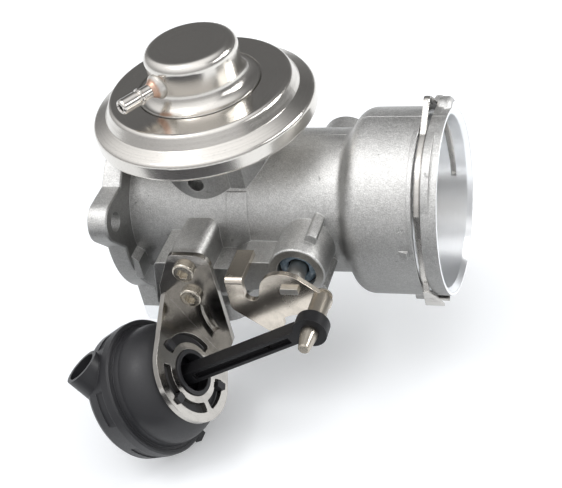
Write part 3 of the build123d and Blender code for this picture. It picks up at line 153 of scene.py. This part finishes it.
class Surface:
    """A Principled material whose pattern follows the object's own coordinates."""

    def __init__(self, name, metallic, edge=0.2 * MM, **sockets):
        self.material = bpy.data.materials.new(name)
        self.material.use_nodes = True
        self.tree = self.material.node_tree
        self.shader = self.tree.nodes["Principled BSDF"]
        self.coords = self.node("ShaderNodeTexCoord").outputs["Object"]
        self.color = self.roughness = self.height = None
        self.edge = edge
        self.feed("Metallic", metallic)
        for socket, value in sockets.items():
            self.feed(socket.replace("_", " "), value)

    def node(self, kind, inputs=(), **settings):
        return add_node(self.tree, kind, inputs, **settings)

    def feed(self, socket, value):
        """Gives the shader's own socket a value."""
        feed(self.tree, self.shader.inputs[socket], value)

    def math(self, operation, a, b=0.0):
        return self.node("ShaderNodeMath", {0: a, 1: b}, operation=operation).outputs[0]

    def vector(self, operation, a, b=(0.0, 0.0, 0.0)):
        return self.node("ShaderNodeVectorMath", {0: a, 1: b}, operation=operation).outputs[0]

    def number(self, operation, a, b=(0.0, 0.0, 0.0)):
        """Result of a vector operation that gives a number."""
        made = self.node("ShaderNodeVectorMath", {0: a, 1: b}, operation=operation)
        return made.outputs["Value"]

    def axes(self, source=None):
        return self.node("ShaderNodeSeparateXYZ", {0: source or self.coords}).outputs

    def around(self, letter, centre=(0.0, 0.0, 0.0)):
        """Distance from an axis through centre that runs along the letter."""
        moved = self.vector("SUBTRACT", self.coords, centre)
        flat = tuple(0.0 if name == letter else 1.0 for name in "xyz")
        return self.number("LENGTH", self.vector("MULTIPLY", moved, flat))

    def ramp(self, value, low, high, to_low=0.0, to_high=1.0):
        """Value mapped from low..high, clamped and smooth at both ends."""
        made = self.node(
            "ShaderNodeMapRange",
            {"Value": value, "From Min": low, "From Max": high, "To Min": to_low, "To Max": to_high},
            interpolation_type="SMOOTHSTEP",
        )
        return made.outputs[0]

    def noise(self, scale, detail=3.0, roughness=0.55, stretch=None, vector=None):
        """Noise with about `scale` cells to the metre."""
        place = vector or self.coords
        if stretch:
            place = self.vector("MULTIPLY", place, stretch)
        made = self.node(
            "ShaderNodeTexNoise",
            {"Vector": place, "Scale": scale, "Detail": detail, "Roughness": roughness},
        )
        return made.outputs["Fac"]

    def edges(self, reach):
        """1 on convex and concave edges within reach, 0 on open faces."""
        soft = self.node("ShaderNodeBevel", {"Radius": reach}, samples=4).outputs[0]
        true = self.node("ShaderNodeNewGeometry").outputs["Normal"]
        return self.ramp(self.number("DOT_PRODUCT", soft, true), 0.99, 0.80)

    def mix(self, amount, a, b):
        """Colour a where amount is 0 and b where it is 1."""
        made = self.node("ShaderNodeMix", {0: amount, 6: a, 7: b}, data_type="RGBA")
        return made.outputs[2]

    def tint(self, mask, strength, color):
        """Lays a colour over the surface's own where the mask is 1."""
        self.color = self.mix(self.math("MULTIPLY", mask, strength), self.color, color)

    def blend(self, amount, a, b):
        """Number a where amount is 0 and b where it is 1."""
        made = self.node("ShaderNodeMix", {0: amount, 2: a, 3: b}, data_type="FLOAT")
        return made.outputs[0]

    def raise_by(self, value, depth, where=None):
        """Adds a bump of the given depth in metres for a value of 0..1."""
        if where is not None:
            value = self.math("MULTIPLY", value, where)
        part = self.math("MULTIPLY", value, depth)
        self.height = part if self.height is None else self.math("ADD", self.height, part)

    def finish(self):
        self.feed("Base Color", self.color)
        self.feed("Roughness", self.roughness)
        normal = self.node("ShaderNodeBevel", {"Radius": self.edge}, samples=4).outputs[0]
        if self.height is not None:
            bump = {"Strength": 1.0, "Distance": 1.0, "Height": self.height, "Normal": normal}
            normal = self.node("ShaderNodeBump", bump).outputs[0]
        self.feed("Normal", normal)
        return self.material


def turned_walls(s):
    """1 on the turned inside of the collar and on the bore."""
    from_axis = s.around("x")
    in_collar = s.math("LESS_THAN", from_axis, COLLAR_REACH)
    in_collar = s.math("MULTIPLY", in_collar, s.math("GREATER_THAN", s.axes()["X"], COLLAR_STEP_X))
    return s.math("MAXIMUM", in_collar, s.math("LESS_THAN", from_axis, BORE_REACH))


def turned_faces(s):
    """1 on the mouth's end face, the manifold face and the gas port's face."""
    x, z = s.axes()["X"], s.axes()["Z"]
    end_face = s.math("GREATER_THAN", x, BODY_HIGH.x - FACE_SLACK)
    flange_face = s.math("LESS_THAN", x, BODY_LOW.x + FACE_SLACK)
    gas_face = s.math("LESS_THAN", z, GAS_FACE_Z + FACE_SLACK)
    return s.math("MAXIMUM", s.math("MAXIMUM", end_face, flange_face), gas_face)


def die_seam(s):
    """1 on the line where the two halves of the die met, along the top and bottom of the tube."""
    from_seam = s.math("ABSOLUTE", s.math("SUBTRACT", s.axes()["Y"], PARTING_Y))
    line = s.ramp(from_seam, 0.45 * MM, 0.10 * MM)
    far = s.math("GREATER_THAN", s.math("ABSOLUTE", s.axes()["Z"]), PARTING_FROM_Z)
    return s.math("MULTIPLY", line, far)


def cast_aluminium():
    """Shot-blasted casting, with turned faces at the mouth, bore, flange and gas port, and painted shade on
    its walls and undersides.
    """
    s = Surface("cast_aluminium", 1.0, edge=0.45 * MM)
    walls = turned_walls(s)
    turned = s.math("MAXIMUM", walls, turned_faces(s))
    cast = s.math("SUBTRACT", 1.0, turned)
    # cast skin: slow clouds, a mottle of about a millimetre and the fine dimples of the shot
    cloud = s.noise(40, 3)
    mottle = s.noise(600, 3, 0.6)
    grain = s.noise(2800, 2, 0.7)
    pits = s.ramp(s.noise(420, 2, 0.5), 0.29, 0.24)
    s.color = s.mix(s.ramp(cloud, 0.35, 0.7), CAST_GREY, CAST_PALE)
    s.tint(s.ramp(mottle, 0.62, 0.38), 0.16, (0.30, 0.30, 0.29))
    s.tint(s.ramp(grain, 0.60, 0.36), 0.42, (0.27, 0.27, 0.26))
    s.tint(s.ramp(grain, 0.56, 0.74), 0.55, (0.95, 0.95, 0.93))
    s.tint(pits, 0.35, (0.20, 0.20, 0.195))
    # painted shade: walls and undersides are made darker by the way they face
    upward = s.axes(s.node("ShaderNodeNewGeometry").outputs["Normal"])["Z"]
    painted_underside_shade = s.mix(0.64, s.color, (0.10, 0.10, 0.098))
    s.color = s.mix(s.ramp(upward, -0.20, 0.75), painted_underside_shade, s.color)
    # paler edges, convex and concave: partly edge wear, partly a painted highlight
    s.tint(s.edges(0.5 * MM), 0.40, (0.86, 0.86, 0.85))
    # turned metal: tool rings round the bore, which draw each highlight out along it
    rings = s.noise(1.0, 2, 0.6, stretch=(2600.0, 25.0, 25.0))
    s.color = s.mix(turned, s.color, s.mix(rings, TURNED_DARK, TURNED_PALE))
    blasted_rough = s.ramp(grain, 0.2, 0.8, 0.40, 0.54)
    s.roughness = s.blend(turned, blasted_rough, s.ramp(rings, 0.3, 0.7, 0.34, 0.38))
    boss_face = s.math("LESS_THAN", s.axes()["Y"], BOSS_FACE_Y + FACE_SLACK)
    s.roughness = s.blend(boss_face, s.roughness, 0.36)
    s.feed("Anisotropic", walls)
    s.feed("Anisotropic Rotation", 0.25)
    s.feed("Tangent", s.node("ShaderNodeTangent", direction_type="RADIAL", axis="X").outputs[0])
    s.raise_by(die_seam(s), 0.16 * MM, cast)
    s.raise_by(grain, 0.09 * MM, cast)
    s.raise_by(mottle, 0.10 * MM, cast)
    s.raise_by(cloud, 0.25 * MM, cast)
    s.raise_by(s.math("SUBTRACT", 1.0, pits), 0.12 * MM, cast)
    s.raise_by(rings, 0.004 * MM, turned)
    return s.finish()


def drawn_steel(name, base, axis_at, rough=0.15):
    """Bright plated sheet with faint rings from the press tool, round an axis along Z."""
    s = Surface(name, 1.0, edge=0.3 * MM)
    ring_place = s.math("MULTIPLY", s.around("z", axis_at), 1100.0)
    rings = s.noise(1.0, 3, 0.6, vector=s.node("ShaderNodeCombineXYZ", {0: ring_place}).outputs[0])
    haze = s.noise(110, 3)
    speck = s.noise(1500, 2, 0.6)
    dark = shaded(base, 0.72)
    s.color = base
    s.tint(s.ramp(rings, 0.35, 0.75), 0.35, dark)
    s.tint(s.ramp(speck, 0.58, 0.72), 0.35, dark)
    ring_rough = s.ramp(rings, 0.3, 0.7, rough - 0.03, rough + 0.05)
    s.roughness = s.math("ADD", ring_rough, s.math("MULTIPLY", haze, 0.07))
    s.raise_by(rings, 0.006 * MM)
    s.raise_by(haze, 0.030 * MM)
    s.raise_by(speck, 0.0012 * MM)
    return s.finish()


def sheet_steel(name, base, rough, grain=(1.0, 1.0, 1.0), edge=0.25 * MM):
    """Rolled, plated or ground steel: fine grain, faint stains and bright edges, partly edge wear and
    partly a painted highlight.
    """
    s = Surface(name, 1.0, edge=edge)
    streak = s.noise(1400, 2, 0.6, stretch=grain)
    stain = s.noise(160, 3, 0.6)
    dark = shaded(base, 0.70)
    s.color = base
    s.tint(s.ramp(stain, 0.40, 0.70), 0.5, dark)
    s.tint(s.ramp(streak, 0.55, 0.75), 0.35, dark)
    # paler edges, convex and concave: partly edge wear, partly a painted highlight
    s.tint(s.edges(0.3 * MM), 0.5, shaded(base, 1.3))
    stain_rough = s.ramp(stain, 0.35, 0.75, rough - 0.02, rough + 0.05)
    s.roughness = s.math("ADD", stain_rough, s.math("MULTIPLY", streak, 0.06))
    s.raise_by(streak, 0.0015 * MM)
    s.raise_by(s.noise(70, 1), 0.03 * MM)
    return s.finish()


def moulded_plastic(name, base, rough, shine=0.5):
    """Black glass-filled plastic: fine spark texture, slightly paler at its edges, partly from wear and
    partly a painted highlight.
    """
    s = Surface(name, 0.0, edge=0.3 * MM, Specular_IOR_Level=shine)
    spark = s.noise(1900, 2, 0.6)
    flow = s.noise(40, 3)
    pale = tuple(2.4 * channel + 0.012 for channel in base)
    s.color = s.mix(flow, base, shaded(base, 1.5))
    # paler edges, convex and concave: partly wear, partly a painted highlight
    s.tint(s.edges(0.35 * MM), 0.6, pale)
    spark_rough = s.ramp(spark, 0.3, 0.7, rough - 0.05, rough + 0.06)
    s.roughness = s.math("ADD", spark_rough, s.math("MULTIPLY", flow, 0.05))
    s.raise_by(spark, 0.012 * MM)
    s.raise_by(flow, 0.06 * MM)
    return s.finish()


def soft_rubber():
    s = Surface("black_rubber", 0.0)
    bloom = s.noise(400, 4)
    s.color = s.mix(bloom, (0.012, 0.012, 0.013), (0.035, 0.035, 0.037))
    s.roughness = s.ramp(bloom, 0.3, 0.7, 0.5, 0.72)
    s.raise_by(bloom, 0.03 * MM)
    return s.finish()


def copper_braze():
    """Copper that thins out into the plating away from the nipple."""
    s = Surface("copper_braze", 1.0)
    flow = s.noise(500, 4)
    out = s.vector("SUBTRACT", s.coords, NIPPLE_AT)
    away = s.number("LENGTH", s.vector("CROSS_PRODUCT", out, NIPPLE_ALONG))
    away = s.math("ADD", away, s.math("MULTIPLY", flow, 0.8 * MM))
    s.color = s.mix(s.ramp(away, 3.5 * MM, 4.3 * MM), s.mix(flow, COPPER_DARK, COPPER_PALE), PLATED)
    s.roughness = s.ramp(flow, 0.3, 0.7, 0.34, 0.5)
    s.raise_by(flow, 0.15 * MM)
    return s.finish()


def bush_bronze():
    s = Surface("sintered_bronze", 1.0)
    pores = s.noise(1800, 2)
    s.color = s.mix(pores, (0.36, 0.24, 0.12), (0.68, 0.50, 0.28))
    s.roughness = s.ramp(pores, 0.3, 0.7, 0.35, 0.55)
    s.raise_by(pores, 0.03 * MM)
    return s.finish()


def blue_grease():
    s = Surface("shaft_grease", 0.0, Coat_Weight=0.4)
    swirl = s.noise(900, 3)
    s.color = s.mix(swirl, (0.03, 0.05, 0.075), (0.28, 0.38, 0.47))
    s.roughness = s.ramp(swirl, 0.3, 0.7, 0.16, 0.34)
    s.raise_by(swirl, 0.25 * MM)
    return s.finish()


ALONG_Y = (1.0, 12.0, 1.0)
finishes = {
    cast_aluminium(): ["housing"],
    drawn_steel("can_plating", PLATED, (CAN_X, 0.0, 0.0)): ["upper_can", "lower_can"],
    sheet_steel("nipple_plating", PLATED_PIPE, 0.14): ["vacuum_nipple"],
    copper_braze(): ["nipple_braze"],
    sheet_steel("lever_plating", PLATED_LEVER, 0.20, (1.0, 1.0, 0.3)): ["lever"],
    sheet_steel("bracket_plating", NICKEL, 0.13, (1.0, 1.0, 0.3)): ["bracket"],
    sheet_steel("clip_wire", SPRING_STEEL, 0.20, edge=0.9 * MM): ["hose_clip"],
    sheet_steel("screw_plating", PLATED_SCREW, 0.22): [
        "bracket_screws", "can_screws", "flap_screws", "stem_nut",
    ],
    sheet_steel("ground_shaft", GROUND_STEEL, 0.36, ALONG_Y): ["throttle_shaft"],
    sheet_steel("pin_steel", TURNED_STEEL, 0.26, (1.0, 4.0, 1.0)): ["lever_pin"],
    sheet_steel("valve_steel", VALVE_STEEL, 0.34): [
        "egr_seat", "egr_poppet", "lower_plate", "upper_plate",
        "boss_plug", "valve_spring", "actuator_spring",
    ],
    sheet_steel("flap_brass", BRASS, 0.28): ["throttle_flap"],
    bush_bronze(): ["stem_guide", "front_bush", "rear_bush"],
    soft_rubber(): ["stem_seal", "shaft_seal", "diaphragm", "actuator_diaphragm"],
    moulded_plastic("actuator_plastic", BLACK_NYLON, 0.40): ["actuator_bell", "actuator_cover"],
    moulded_plastic("rod_plastic", BLACK_ROD, 0.42, shine=0.3): ["rod", "actuator_piston"],
}
for material, names in finishes.items():
    for name in names:
        for slot in nodes[name].material_slots:
            slot.material = material


# ---------------------------------------------------------------- pieces of its own
def grease_ring():
    """Lumpy collar of grease in front of the shaft seal."""
    shape = bmesh.new()
    turns, around = 72, 14
    rows = []
    for i in range(turns):
        turn = 2 * pi * i / turns
        lump = noise.noise(Vector((3 * cos(turn), 3 * sin(turn), 0.3)))
        mean = (4.9 + 0.25 * lump) * MM
        thick = (1.45 + 0.2 * lump) * MM
        deep = (1.5 + 0.7 * lump) * MM
        row = []
        for j in range(around):
            step = 2 * pi * j / around
            out = mean + thick * cos(step)
            y = BOSS_FACE_Y + 3.1 * MM - deep * sin(step) * 0.8
            row.append(shape.verts.new((SHAFT_X + out * cos(turn), y, out * sin(turn))))
        rows.append(row)
    for i in range(turns):
        here, ahead = rows[i], rows[(i + 1) % turns]
        for j in range(around):
            up = (j + 1) % around
            shape.faces.new((here[j], ahead[j], ahead[up], here[up]))
    mesh = bpy.data.meshes.new("boss_grease")
    bmesh.ops.recalc_face_normals(shape, faces=shape.faces)
    shape.to_mesh(mesh)
    shape.free()
    mesh.materials.append(blue_grease())
    for face in mesh.polygons:
        face.use_smooth = True
    made = bpy.data.objects.new("boss_grease", mesh)
    bpy.context.scene.collection.objects.link(made)
    return made


grease = grease_ring()
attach(grease, "body")


# ---------------------------------------------------------------- floor, light and camera
def flat_sheet(name, low, high, level, finish, color, roughness):
    """Level rectangle from low to high, each an (x, y), with a plain finish."""
    mesh = bpy.data.meshes.new(name)
    corners = ((low[0], low[1]), (high[0], low[1]), (high[0], high[1]), (low[0], high[1]))
    mesh.from_pydata([(x, y, level) for x, y in corners], [], [(0, 1, 2, 3)])
    material = bpy.data.materials.new(finish)
    material.use_nodes = True
    tree = material.node_tree
    shader = tree.nodes["Principled BSDF"]
    feed(tree, shader.inputs["Base Color"], color)
    feed(tree, shader.inputs["Roughness"], roughness)
    mesh.materials.append(material)
    made = bpy.data.objects.new(name, mesh)
    bpy.context.scene.collection.objects.link(made)
    return made


def studio_floor():
    """Wide pale table. Its own glow is seen by the camera and by reflections, and lights nothing matt."""
    low, high = (-FLOOR_HALF, -FLOOR_HALF), (FLOOR_HALF, FLOOR_HALF)
    made = flat_sheet("table_top", low, high, FLOOR_Z, "table_white", FLOOR_WHITE, 0.7)
    tree = made.data.materials[0].node_tree
    rays = add_node(tree, "ShaderNodeLightPath").outputs
    seen = rays["Is Camera Ray"]
    for kind in ("Is Glossy Ray", "Is Transmission Ray"):
        seen = add_node(tree, "ShaderNodeMath", {0: seen, 1: rays[kind]}, operation="MAXIMUM").outputs[0]
    glow = add_node(tree, "ShaderNodeMath", {0: seen, 1: FLOOR_GLOW}, operation="MULTIPLY").outputs[0]
    shader = tree.nodes["Principled BSDF"]
    feed(tree, shader.inputs["Emission Color"], (1.0, 1.0, 1.0))
    feed(tree, shader.inputs["Emission Strength"], glow)
    return made


def painted_shade_sheet():
    """Black sheet on the table, out of view in front, that only reflections see: painted shade in what the
    metal reflects there.
    """
    made = flat_sheet("painted_shade_sheet", SHADE_SHEET_LOW, SHADE_SHEET_HIGH, FLOOR_Z + 2 * MM, "shade_sheet_black", SHADE_SHEET_BLACK, 0.9)
    made.visible_camera = made.visible_shadow = made.visible_diffuse = False
    return made


def softbox(name, place, aim, size, watts):
    data = bpy.data.lights.new(name, "AREA")
    data.shape = "RECTANGLE"
    data.size, data.size_y = size
    data.energy = watts
    made = bpy.data.objects.new(name, data)
    bpy.context.scene.collection.objects.link(made)
    made.location = place
    made.rotation_euler = (Vector(aim) - Vector(place)).to_track_quat("-Z", "Y").to_euler()


def sky(tree, height, stops):
    """Grey that goes through the stops as the height of the direction grows."""
    made = add_node(tree, "ShaderNodeValToRGB", {0: height})
    elements = made.color_ramp.elements
    while len(elements) < len(stops):
        elements.new(0.5)
    for element, (place, value) in zip(elements, stops):
        element.position = place
        element.color = (value, value, 1.01 * value, 1.0)
    return made.outputs[0]


def facing(tree, direction, way, low, high, top=1.0):
    """0 to top as the direction turns towards the way, from one cosine to the other."""
    cosine = add_node(tree, "ShaderNodeVectorMath", {0: direction, 1: way}, operation="DOT_PRODUCT")
    made = add_node(
        tree, "ShaderNodeMapRange",
        {"Value": cosine.outputs["Value"], "From Min": low, "From Max": high, "To Max": top},
        interpolation_type="SMOOTHSTEP",
    )
    return made.outputs[0]


def studio_world():
    """Bright room overhead and towards -Y and -X, dim wall towards +X and +Y."""
    world = bpy.data.worlds.new("studio")
    bpy.context.scene.world = world
    world.use_nodes = True
    tree = world.node_tree
    direction = add_node(tree, "ShaderNodeTexCoord").outputs["Generated"]
    height = add_node(tree, "ShaderNodeSeparateXYZ", {0: direction}).outputs["Z"]
    level = add_node(tree, "ShaderNodeVectorMath", {0: direction, 1: (1.0, 1.0, 0.0)}, operation="MULTIPLY")
    compass = add_node(tree, "ShaderNodeVectorMath", {0: level.outputs[0]}, operation="NORMALIZE")
    wall = facing(tree, compass.outputs[0], DIM_WALL, -0.15, 0.30)
    skies = {0: wall, 6: sky(tree, height, ROOM_SKY), 7: sky(tree, height, WALL_SKY)}
    both = add_node(tree, "ShaderNodeMix", skies, data_type="RGBA")
    key = facing(tree, direction, KEY_SIDE, 0.45, 0.95, KEY_GAIN)
    background = tree.nodes["Background"]
    feed(tree, background.inputs["Color"], both.outputs[2])
    strength = add_node(tree, "ShaderNodeMath", {0: key, 1: 1.0}, operation="ADD")
    feed(tree, background.inputs["Strength"], strength.outputs[0])


def photo_camera():
    data = bpy.data.cameras.new("photo_camera")
    data.sensor_width = 36.0
    data.sensor_fit = "HORIZONTAL"
    data.lens = CAMERA_LENS
    data.clip_start, data.clip_end = 0.01, 50.0
    camera = bpy.data.objects.new("photo_camera", data)
    bpy.context.scene.collection.objects.link(camera)
    turn = CAMERA_LOOK.to_track_quat("-Z", "Y").to_matrix().to_4x4()
    camera.matrix_world = Matrix.Translation(CAMERA_AT) @ turn @ Matrix.Rotation(CAMERA_ROLL, 4, "Z")
    bpy.context.scene.camera = camera


studio_floor()
painted_shade_sheet()
studio_world()
for name, panel in PANELS.items():
    softbox(name, *panel)
photo_camera()
bpy.context.scene.view_settings.view_transform = "Standard"
